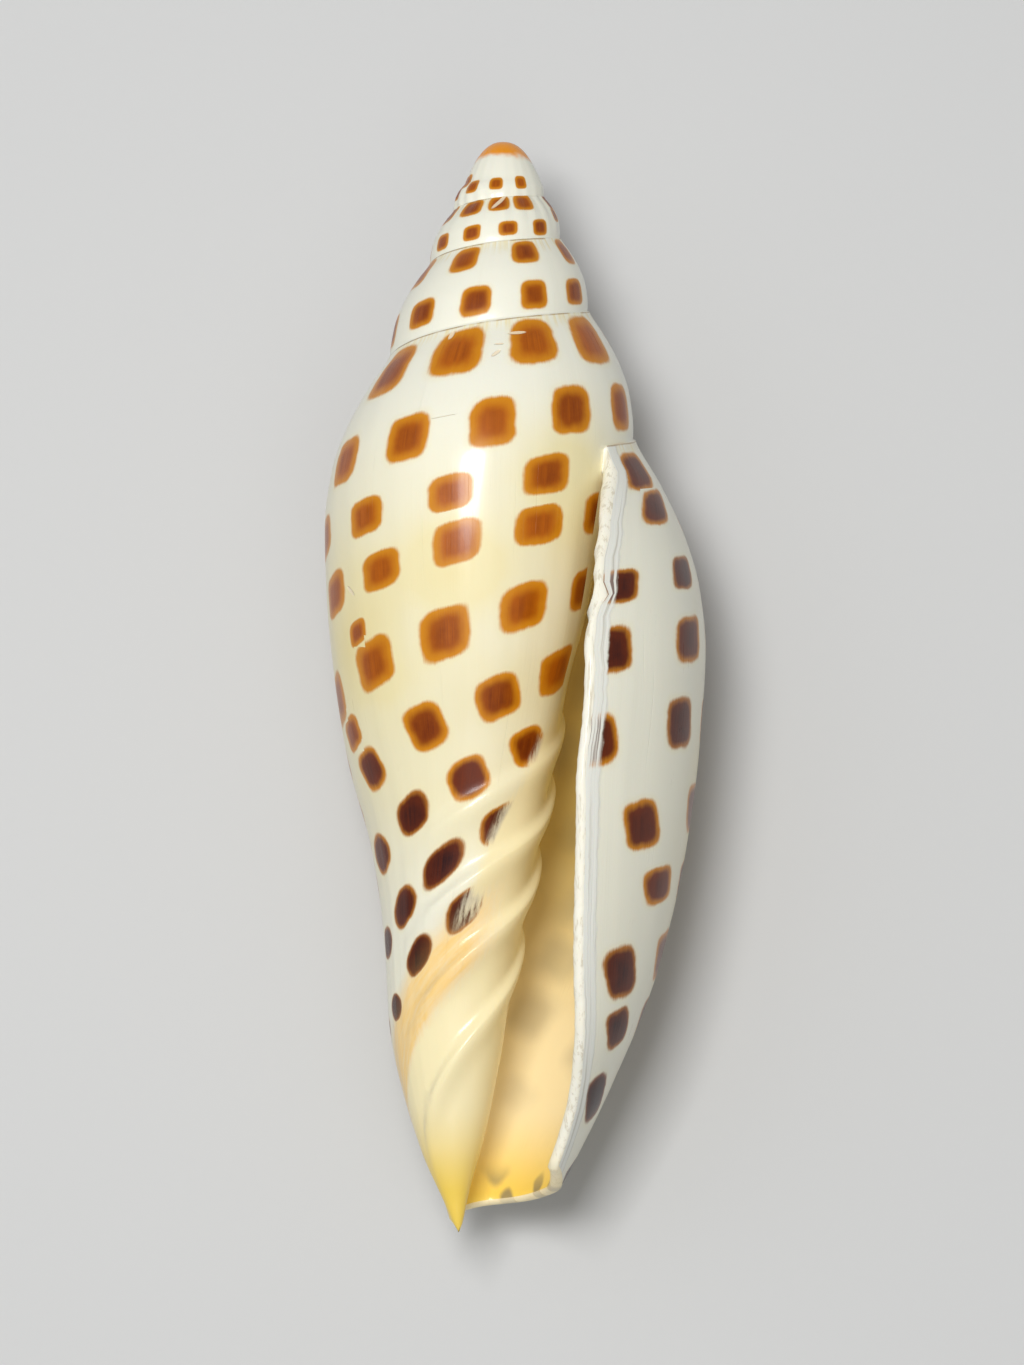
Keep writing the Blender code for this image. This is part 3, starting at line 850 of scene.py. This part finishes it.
def paint_fields(data):
    """The places and masks that the finish reads."""
    tags, starts, totals = read_corners(data)
    growth, angle, z, kind = tags.T
    outside = (kind == OUTSIDE) | (kind == PILLAR_SIDE)
    age = z / pitch_at(angle)
    deep = np.where(kind == PILLAR_SIDE, MOUTH_ANGLE - growth, 0.0)
    deep = np.where(kind >= INSIDE, LIP_ANGLE - growth, deep)
    store(data, "spot", paint_spots(tags, starts, totals))
    store(data, "nick", paint_nicks(tags))
    body = outside & (angle > -140.0)
    fasciole = ease(age, 107.0, 112.5) * (1 - ease(age, 119.4, 120.8)) * ease(angle, -40.0, -5.0)
    fasciole = fasciole * (1 - ease(angle, 150.0, 190.0)) * body
    callus = ease(age, 119.4, 120.8) * body * (1 - ease(angle, 150.0, 200.0))
    folded = (1 - ease(angle - glaze_line(z), -5.0, 5.0)) * ease(z, 50.0, 56.0) * body
    glaze = np.maximum(callus, folded * (1 - fasciole))
    band = growth - LIP_ANGLE
    margin = np.where(outside, (-band) * math.radians(1.0) * radius(angle, z), 0.0)
    margin = np.where(kind == EDGE, -1.0, np.where(kind == INSIDE, 9.0, margin))
    cream = creaminess(angle, z)
    yellow = ease(z, 88.0, 97.0) * np.where(outside & (angle > 165.0), 0.0, 1.0)
    store(data, "tints", np.stack([cream, fasciole, yellow], axis=1))
    store(data, "covers", np.stack([glaze, np.clip(deep / 90.0, 0.0, 3.0), margin], axis=1))
    store(data, "whorl", np.stack([age, z - suture(growth), kind], axis=1))
    lines = data.uv_layers.new(name="growth_lines")
    uv = np.stack([growth / 10.0, z / 10.0], axis=1)
    lines.data.foreach_set("uv", uv.astype(np.float32).ravel())


class Wire:
    """A shader socket that can be used in Python sums, which add their Math nodes."""

    def __init__(self, tree, socket):
        self.tree = tree
        self.socket = socket

    def maths(self, operation, *others, clamp=False):
        node = self.tree.nodes.new("ShaderNodeMath")
        node.operation = operation
        node.use_clamp = clamp
        for slot, value in zip(node.inputs, (self, *others)):
            plug(self.tree, slot, value)
        return Wire(self.tree, node.outputs[0])

    __add__ = __radd__ = partialmethod(maths, "ADD")
    __mul__ = __rmul__ = partialmethod(maths, "MULTIPLY")
    __sub__ = partialmethod(maths, "SUBTRACT")
    __truediv__ = partialmethod(maths, "DIVIDE")
    __pow__ = partialmethod(maths, "POWER")
    __abs__ = partialmethod(maths, "ABSOLUTE")

    def __rsub__(self, other):
        return self * -1.0 + other

    def __rtruediv__(self, other):
        return self ** -1.0 * other

    def clamped(self):
        return self.maths("ADD", 0.0, clamp=True)


def plug(tree, slot, value):
    """Link a wire into a socket, or set its value."""
    if isinstance(value, Wire):
        tree.links.new(value.socket, slot)
    else:
        slot.default_value = value


class Finish:
    """A material's nodes."""

    def __init__(self, name):
        self.material = bpy.data.materials.new(name)
        self.material.use_nodes = True
        self.tree = self.material.node_tree
        self.shader = self.tree.nodes["Principled BSDF"]

    def node(self, kind, settings=(), output=0, **sockets):
        """Any node: its type, its settings, the output wanted and its sockets."""
        node = self.tree.nodes.new("ShaderNode" + kind)
        for name, value in dict(settings).items():
            setattr(node, name, value)
        for name, value in sockets.items():
            named = node.inputs.get(name.replace("_", " "))
            slot = node.inputs[int(name[1:])] if named is None else named
            plug(self.tree, slot, value)
        return Wire(self.tree, node.outputs[output])

    def attribute(self, name):
        found = self.node("Attribute", {"attribute_name": name}, output="Vector")
        return self.split(found)

    def split(self, vector):
        parts = self.node("SeparateXYZ", Vector=vector).socket.node.outputs
        return [Wire(self.tree, part) for part in parts]

    def noise(self, place, scale, detail=2.0, rough=0.5):
        return self.node("TexNoise", output="Fac", Vector=place, Scale=scale, Detail=detail,
                         Roughness=rough)

    def ramp(self, value, start, end):
        """0 before start, 1 after end, smooth between."""
        return self.node("MapRange", {"interpolation_type": "SMOOTHSTEP"}, Value=value, _1=start, _2=end)

    def mix(self, factor, first, second):
        """Between two colours."""
        node = self.tree.nodes.new("ShaderNodeMix")
        node.data_type = "RGBA"
        plug(self.tree, node.inputs[0], factor)
        plug(self.tree, node.inputs[6], first)
        plug(self.tree, node.inputs[7], second)
        return Wire(self.tree, node.outputs[2])

    def vector(self, x, y, z=0.0):
        return self.node("CombineXYZ", X=x, Y=y, Z=z)

    def finish(self, **sockets):
        for name, value in sockets.items():
            plug(self.tree, self.shader.inputs[name.replace("_", " ")], value)


def colour_property(name, text, value):
    return FloatVectorProperty(name=name, description=text, default=value, size=3, min=0.0, max=1.0,
                               subtype="COLOR")


class ShellLook(bpy.types.PropertyGroup):
    white: colour_property("White", "Spire, lip and base", (0.87, 0.86, 0.74))
    cream: colour_property("Cream", "Middle of the body whorl", (0.85, 0.755, 0.44))
    straw: colour_property("Straw", "Patches in the cream", (0.82, 0.68, 0.31))
    rim: colour_property("Rim", "Rim of a light spot", (0.62, 0.235, 0.008))
    dull_rim: colour_property("Dull rim", "Rim of a dark spot", (0.26, 0.085, 0.03))
    amber: colour_property("Amber", "Middle of a light spot", (0.44, 0.105, 0.002))
    brown: colour_property("Brown", "Middle of a brown spot", (0.16, 0.024, 0.002))
    dark: colour_property("Dark brown", "Middle of a dark spot", (0.028, 0.006, 0.006))
    apex: colour_property("Apex", "Smooth cap of the first whorl", (0.84, 0.30, 0.008))
    peach: colour_property("Peach", "Band that the siphon's notch left", (0.94, 0.64, 0.24))
    callus: colour_property("Callus", "Glaze on the pillar", (0.92, 0.81, 0.49))
    yellow: colour_property("Yellow", "Pointed end and floor of the canal", (0.92, 0.65, 0.11))
    inside: colour_property("Inside", "Inner wall near the canal", (0.93, 0.79, 0.47))
    # Olive of the inner wall high in the mouth: partly the wall's own tint, partly painted shade of the
    # deep, narrow mouth
    olive_and_depth_shade: colour_property("Olive", "Inner wall high in the mouth", (0.72, 0.54, 0.17))
    ghost: colour_property("Ghost", "Spots under the edge of the glaze", (0.40, 0.37, 0.38))
    shade: colour_property("Shade", "Spots seen through the wall", (0.22, 0.19, 0.13))
    scar: colour_property("Scar", "Healed nicks", (0.88, 0.74, 0.52))
    edge: colour_property("Edge", "Rough edge of the lip", (0.84, 0.84, 0.77))
    layer: colour_property("Layer", "Old layers along the lip", (0.42, 0.38, 0.30))
    thread: colour_property("Thread", "Stained line along a suture", (0.36, 0.20, 0.05))
    stria: FloatProperty(name="Growth lines", description="Depth of the growth lines", default=0.00002,
                         min=0.0, max=0.001, subtype="DISTANCE", unit="LENGTH")


class StudioLook(bpy.types.PropertyGroup):
    floor: colour_property("Floor", "Plain pale floor", (0.60, 0.60, 0.59))
    key: FloatProperty(name="Key", description="Power of the main soft light", default=2.12, min=0.0,
                       subtype="POWER", unit="POWER")
    fill: FloatProperty(name="Fill", description="Power of the fill light", default=0.30, min=0.0,
                        subtype="POWER", unit="POWER")
    sky: FloatProperty(name="Sky", description="Strength of the light all round", default=0.29, min=0.0)
    lens: FloatProperty(name="Lens", description="Focal length", default=180.0, min=20.0, max=400.0,
                        unit="CAMERA", subtype="DISTANCE_CAMERA")
    height: FloatProperty(name="Frame height", description="What the frame takes in, from top to bottom",
                          default=0.1243, min=0.05, max=1.0, subtype="DISTANCE", unit="LENGTH")
    floor_steps: IntProperty(name="Floor steps", description="Steps round the floor's edge", default=48,
                             min=12, max=128)


def rgb(colour):
    return (*colour, 1.0)


class ShellFinish(Finish):
    """Glossy cream shell with squarish spots, and the mouth's own colours."""

    def __init__(self, look):
        super().__init__("shell_lustre")
        self.look = look
        self.read_mesh()
        self.make_noises()
        self.make_spots()
        self.make_covers()
        self.connect()

    def read_mesh(self):
        """What the mesh stores about each place."""
        self.spot_x, self.spot_y, self.tone = self.attribute("spot")
        self.nick_x, self.nick_y, self.square = self.attribute("nick")
        self.cream, self.fasciole, self.yellow = self.attribute("tints")
        self.glaze, self.deep, self.margin = self.attribute("covers")
        self.age, self.below, self.kind = self.attribute("whorl")
        self.across, self.down, _ = self.split(self.node("UVMap", {"uv_map": "growth_lines"}))
        metres = self.node("TexCoord", output="Object")
        self.place = self.node("VectorMath", {"operation": "SCALE"}, Vector=metres, Scale=1000.0)
        self.east, self.north, self.up = self.split(self.place)

    def mix(self, factor, first, second):
        """Between two colours, which may be given by their names in the settings."""
        pair = [rgb(getattr(self.look, c)) if isinstance(c, str) else c for c in (first, second)]
        return super().mix(factor, *pair)

    def ragged(self, value, noise, size, start, end):
        """A ramp whose place wanders with a noise."""
        return self.ramp(value + (noise - 0.5) * size, start, end)

    def lined(self, along, over, detail=2.0, rough=0.5):
        """A noise drawn out along the growth lines or along the whorls."""
        return self.noise(self.vector(self.across * along, self.down * over), 1.0, detail, rough)

    def make_noises(self):
        """Fine and broad growth lines, clouds, specks, and the layers of lip and glaze."""
        self.fine = self.lined(26.0, 0.7, 3.0, 0.6)
        self.broad = self.lined(4.0, 0.35)
        self.cloud = self.noise(self.place, 0.09, 3.0, 0.5)
        self.speck = self.noise(self.place, 0.55, 3.0, 0.6)
        self.layers = self.noise(self.vector(self.margin * 2.6, self.down * 0.35), 1.0, 3.0, 0.6)
        self.smear = self.noise(self.vector(self.across * 5.0, self.age * 0.5), 1.0, 3.0, 0.6)

    def make_spots(self):
        """A soft amber rim around a streaked middle."""
        tone = self.tone
        wobble = (self.noise(self.place, 0.6, 2.0, 0.5) - 0.5) * 0.24 + (self.fine - 0.5) * 0.12
        powers = abs(self.spot_x) ** self.square + abs(self.spot_y) ** self.square
        self.reach = powers ** (1 / self.square) + wobble
        self.spot = self.ramp(self.reach, 1.12, 0.93)
        rim = self.ragged(self.reach, self.broad, 0.2, tone * 0.05 + 0.98, tone * 0.42 + 0.40)
        heart = self.ragged(self.reach, self.broad, 0.9, 0.9, 0.3)
        streak = self.fine * 0.4 + self.broad * 0.6
        dark = tone + heart * 0.16 + (streak - 0.5) * 0.8 + (self.speck - 0.5) * 0.3 - 0.06
        core = self.mix((dark * 2.0).clamped(), "amber", "brown")
        core = self.mix((dark * 2.0 - 1.0).clamped(), core, "dark")
        edging = self.mix(self.ramp(tone, 0.55, 0.95), "rim", "dull_rim")
        self.spot_colour = self.mix(rim, edging, core)

    def make_covers(self):
        """What lies over the spots, and where the lip's edge, the nicks and the mouth are."""
        edge_line = self.margin + (self.speck - 0.5) * 0.8 + (self.broad - 0.5) * 0.3
        self.lipped = self.ramp(edge_line, 1.55, 1.25)
        stretch = self.noise(self.vector(0.0, self.down * 1.1), 1.0, 1.0, 0.5)
        remnant = self.ramp(stretch, 0.46, 0.54) * self.ramp(self.layers, 0.45, 0.58)
        self.veiled = (self.glaze + self.glaze * (1 - self.glaze) * (self.smear - 0.5) * 8.0).clamped()
        covered = (self.veiled * 0.93 + self.lipped * (1 - remnant * 0.75)).clamped()
        self.shown = self.spot * (1 - covered)
        self.rough_edge = self.ramp(self.kind, 2.4, 2.9)
        centre = (self.nick_x ** 2.0 + self.nick_y ** 2.0) ** 0.5
        self.scar = self.ragged(centre, self.speck, 0.8, 1.05, 0.7)
        hidden = self.ramp(self.deep, 0.1, 0.9) * self.ramp(self.kind, 0.4, 0.9)
        self.mouth_share = (self.ramp(self.kind, 1.4, 1.9) + hidden).clamped()

    def ground(self):
        """White, cream and straw between the spots."""
        warm = (self.cream * (0.45 + self.cloud * 1.1)).clamped()
        colour = self.mix(warm, "white", "cream")
        patch = self.noise(self.place, 0.05, 2.0, 0.5)
        patched = self.ragged(self.cream, patch, 2.0, 0.9, 2.0)
        colour = self.mix(patched * 0.9, colour, "straw")
        seam = self.ragged(self.below, self.speck, 1.6, 1.5, 0.2) * self.ramp(self.broad, 0.4, 0.65)
        colour = self.mix(seam * self.ramp(self.down, 0.5, 0.7) * 0.6, colour, "straw")
        colour = self.mix(self.ramp(self.reach, 1.35, 1.0) * 0.3, colour, "cream")
        return self.mix(self.fine * 0.12, colour, "cream")

    def outside(self):
        """The ground with the lip's band, the spots, the glaze and the stained suture."""
        band = self.mix(self.ramp(self.layers, 0.50, 0.68) * 0.6, "edge", "layer")
        colour = self.mix(self.lipped * 0.85, self.ground(), band)
        colour = self.mix(self.shown, colour, self.spot_colour)
        ghost = self.ragged(self.reach, self.smear, 0.5, 1.1, 0.5) * (1 - self.fasciole)
        veil = self.mix(ghost * self.ramp(self.glaze, 1.0, 0.6) * 0.6, "callus", "ghost")
        colour = self.mix(self.veiled, colour, veil)
        strand = self.noise(self.vector(self.across * 0.6, self.age * 0.9), 1.0, 3.0, 0.6)
        peach = (self.fasciole * (0.5 + strand * 0.8) * (1 - self.spot * 0.9)).clamped()
        colour = self.mix(peach, colour, "peach")
        colour = self.mix((self.yellow * (0.8 + self.cloud * 0.4)).clamped(), colour, "yellow")
        worn = self.ramp(self.noise(self.vector(self.across * 0.30, 0.0), 1.0, 2.0, 0.6), 0.42, 0.52)
        thread = self.ragged(self.below, self.speck, 0.12, 0.16, 0.06) * worn
        thread = thread * self.ramp(self.down, 0.5, 0.7) * self.ramp(self.age, 34.0, 30.0)
        return self.mix(thread * 0.75, colour, "thread")

    def lining(self):
        """Inside of the mouth, with spots seen through the wall, turning olive and darker towards the
        top of the mouth, partly its own tint and partly painted shade of the deep, narrow mouth.
        """
        # Towards the top of the mouth the lining turns olive and darker: partly its own tint, partly
        # painted shade of the deep, narrow mouth
        depth_shade = self.ragged(self.down, self.cloud, 1.6, 8.8, 6.0)
        colour = self.mix(depth_shade, "inside", "olive_and_depth_shade")
        through = self.ragged(self.reach, self.cloud, 0.5, 1.5, 0.4)
        colour = self.mix(through * self.ramp(self.down, 9.4, 8.2) * 0.30, colour, "shade")
        colour = self.mix(self.yellow, colour, "yellow")
        low = self.ramp(self.reach, 1.2, 0.6) * self.ramp(self.down, 9.3, 9.6)
        return self.mix(low * 0.8, colour, "shade")

    def broken_edge(self):
        """The rough white edge of the lip, grooved along its length."""
        across_edge = self.vector(self.east * 2.6, self.north * 0.16, self.up * 2.6)
        grooves = self.noise(across_edge, 1.0, 3.0, 0.65)
        colour = self.mix(self.ramp(grooves, 0.50, 0.66) * 0.55, "edge", "layer")
        notch = self.ramp(self.down, 9.2, 9.55) * 0.6
        colour = self.mix(notch + self.speck * 0.3, colour, "inside")
        return self.mix(self.shown * self.ramp(self.deep, 0.1, 0.3), colour, self.spot_colour)

    def bump(self):
        """Growth lines and scratches, smooth under the glaze, and the texture of nicks and lip."""
        hair = self.lined(90.0, 1.6, 2.0, 0.6)
        scratch = self.ramp(self.lined(13.0, 0.45, 1.0), 0.70, 0.76)
        grain = self.fine * 0.4 + self.broad * 0.6 + hair * 0.12 + self.lined(0.8, 42.0) * 0.10
        height = (grain - scratch * 0.6) * (1 - self.glaze * 0.85) + self.cloud * 2.0
        height = height - self.scar * 3.0 + self.rough_edge * self.speck * 2.0
        height = height + self.lipped * self.layers * 3.0
        return self.node("Bump", Height=height, Distance=self.look.stria, Strength=1.0)

    def connect(self):
        """All colours, with the orange cap and the nicks on top, the gloss, and the mouth's painted
        glow.
        """
        lining = self.lining()
        colour = self.mix(self.mouth_share, self.outside(), lining)
        colour = self.mix(self.rough_edge, colour, self.broken_edge())
        cap = self.ramp(self.north - self.up * 0.17 + (self.speck - 0.5) * 1.2, 44.4, 45.2)
        colour = self.mix(cap, colour, "apex")
        colour = self.mix(self.scar * 0.85, colour, "scar")
        rough = 0.20 + self.fine * 0.08 + self.noise(self.place, 0.25, 3.0, 0.6) * 0.12
        rough = rough + self.rough_edge * 0.3 + self.lipped * 0.1
        # Painted glow: the mouth's lining emits a share of its own colour, standing in for light through
        # the wall
        painted_glow = self.mix(self.mouth_share * PAINTED_MOUTH_GLOW, (0.0, 0.0, 0.0, 1.0), lining)
        self.finish(Base_Color=colour, Roughness=rough, Normal=self.bump(), IOR=1.32,
                    Coat_Weight=0.32 - self.shown * 0.2, Coat_Roughness=0.13,
                    Subsurface_Weight=0.06, Subsurface_Scale=0.001,
                    Subsurface_Radius=(1.0, 0.7, 0.4), Emission_Color=painted_glow, Emission_Strength=1.0)


def plain_finish(name, colour, roughness):
    f = Finish(name)
    grain = f.noise(f.node("TexCoord", output="Object"), 900.0, 2.0, 0.5)
    tone = f.mix(grain * 0.05, rgb(colour), (0.5, 0.5, 0.5, 1.0))
    f.finish(Base_Color=tone, Roughness=roughness)
    return f.material


class SHELL_OT_build_shell(bpy.types.Operator):
    """Model the shell with its spire, lip, folds and notch, and give it its finish"""

    bl_idname = "shell.build_shell"
    bl_label = "Build Shell"

    def execute(self, context):
        data = shell_mesh()
        paint_fields(data)
        data.materials.append(ShellFinish(context.scene.shell_look).material)
        shell = bpy.data.objects.new("shell_skin", data)
        context.scene.collection.objects.link(shell)
        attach(shell, "root")
        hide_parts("shell")
        return {"FINISHED"}


def add_floor(context, studio):
    mesh = bmesh.new()
    bmesh.ops.create_circle(mesh, cap_ends=True, segments=studio.floor_steps, radius=FLOOR_RADIUS)
    data = bpy.data.meshes.new("floor")
    mesh.to_mesh(data)
    mesh.free()
    data.materials.append(plain_finish("floor_paper", studio.floor, 0.6))
    floor = bpy.data.objects.new("floor", data)
    context.scene.collection.objects.link(floor)


def add_light(context, name, power, size, azimuth, elevation, distance, target):
    """A soft square light that faces the shell."""
    lamp = bpy.data.lights.new(name, "AREA")
    lamp.energy = power
    lamp.shape = "SQUARE"
    lamp.size = size
    light = bpy.data.objects.new(name, lamp)
    a, e = math.radians(azimuth), math.radians(elevation)
    away = Vector((math.sin(a) * math.cos(e), math.cos(a) * math.cos(e), math.sin(e)))
    light.location = target + away * distance
    light.rotation_euler = away.to_track_quat("Z", "Y").to_euler()
    context.scene.collection.objects.link(light)


def add_camera(context, studio, target):
    """Looks down on the shell as the photograph does."""
    p, lean = math.radians(PHOTO_PITCH), math.radians(PHOTO_LEAN)
    toward = Vector((0.0, -math.sin(p), math.cos(p)))
    along = Vector((0.0, math.cos(p), math.sin(p)))
    aside = Vector((1.0, 0.0, 0.0))
    right = aside * math.cos(lean) + along * math.sin(lean)
    up = along * math.cos(lean) - aside * math.sin(lean)
    turn = rest_turn().to_3x3()
    axes = Matrix((turn @ right, turn @ up, turn @ toward)).transposed()
    lens = bpy.data.cameras.new("camera")
    lens.lens = studio.lens
    lens.sensor_width = 36.0
    lens.clip_start = 0.01
    camera = bpy.data.objects.new("camera", lens)
    distance = studio.height * studio.lens / lens.sensor_width
    camera.matrix_world = Matrix.Translation(target + axes @ Vector((0, 0, distance))) @ axes.to_4x4()
    context.scene.collection.objects.link(camera)
    context.scene.camera = camera


class SHELL_OT_build_stage(bpy.types.Operator):
    """Add the pale floor, the soft lights and the camera"""

    bl_idname = "shell.build_stage"
    bl_label = "Build Stage"

    def execute(self, context):
        studio = context.scene.shell_studio
        low, high = SOLID_BOX
        target = (low + high) / 2
        add_floor(context, studio)
        for name, power, *where in LIGHTS:
            add_light(context, name, getattr(studio, power), *where, target)
        world = bpy.data.worlds.new("studio")
        world.use_nodes = True
        sky = world.node_tree.nodes["Background"]
        sky.inputs["Color"].default_value = (0.95, 0.97, 1.0, 1.0)
        sky.inputs["Strength"].default_value = studio.sky
        context.scene.world = world
        context.scene.view_settings.view_transform = "Standard"
        add_camera(context, studio, target)
        return {"FINISHED"}


class SHELL_PT_panel(bpy.types.Panel):
    """Lists the shell's operators and settings"""

    bl_label = "Spotted Shell"
    bl_idname = "SHELL_PT_panel"
    bl_space_type = "VIEW_3D"
    bl_region_type = "UI"
    bl_category = "Shell"

    def draw(self, context):
        layout = self.layout
        for settings in (context.scene.shell_look, context.scene.shell_studio):
            for name in settings.__annotations__:
                layout.prop(settings, name)
        layout.operator(SHELL_OT_build_shell.bl_idname)
        layout.operator(SHELL_OT_build_stage.bl_idname)


CLASSES = (ShellLook, StudioLook, SHELL_OT_build_shell, SHELL_OT_build_stage, SHELL_PT_panel)


def register():
    for item in CLASSES:
        bpy.utils.register_class(item)
    bpy.types.Scene.shell_look = PointerProperty(type=ShellLook)
    bpy.types.Scene.shell_studio = PointerProperty(type=StudioLook)


def unregister():
    del bpy.types.Scene.shell_studio
    del bpy.types.Scene.shell_look
    for item in reversed(CLASSES):
        bpy.utils.unregister_class(item)


def main():
    register()
    bpy.ops.shell.build_shell()
    bpy.ops.shell.build_stage()


if __name__ == "__main__":
    main()
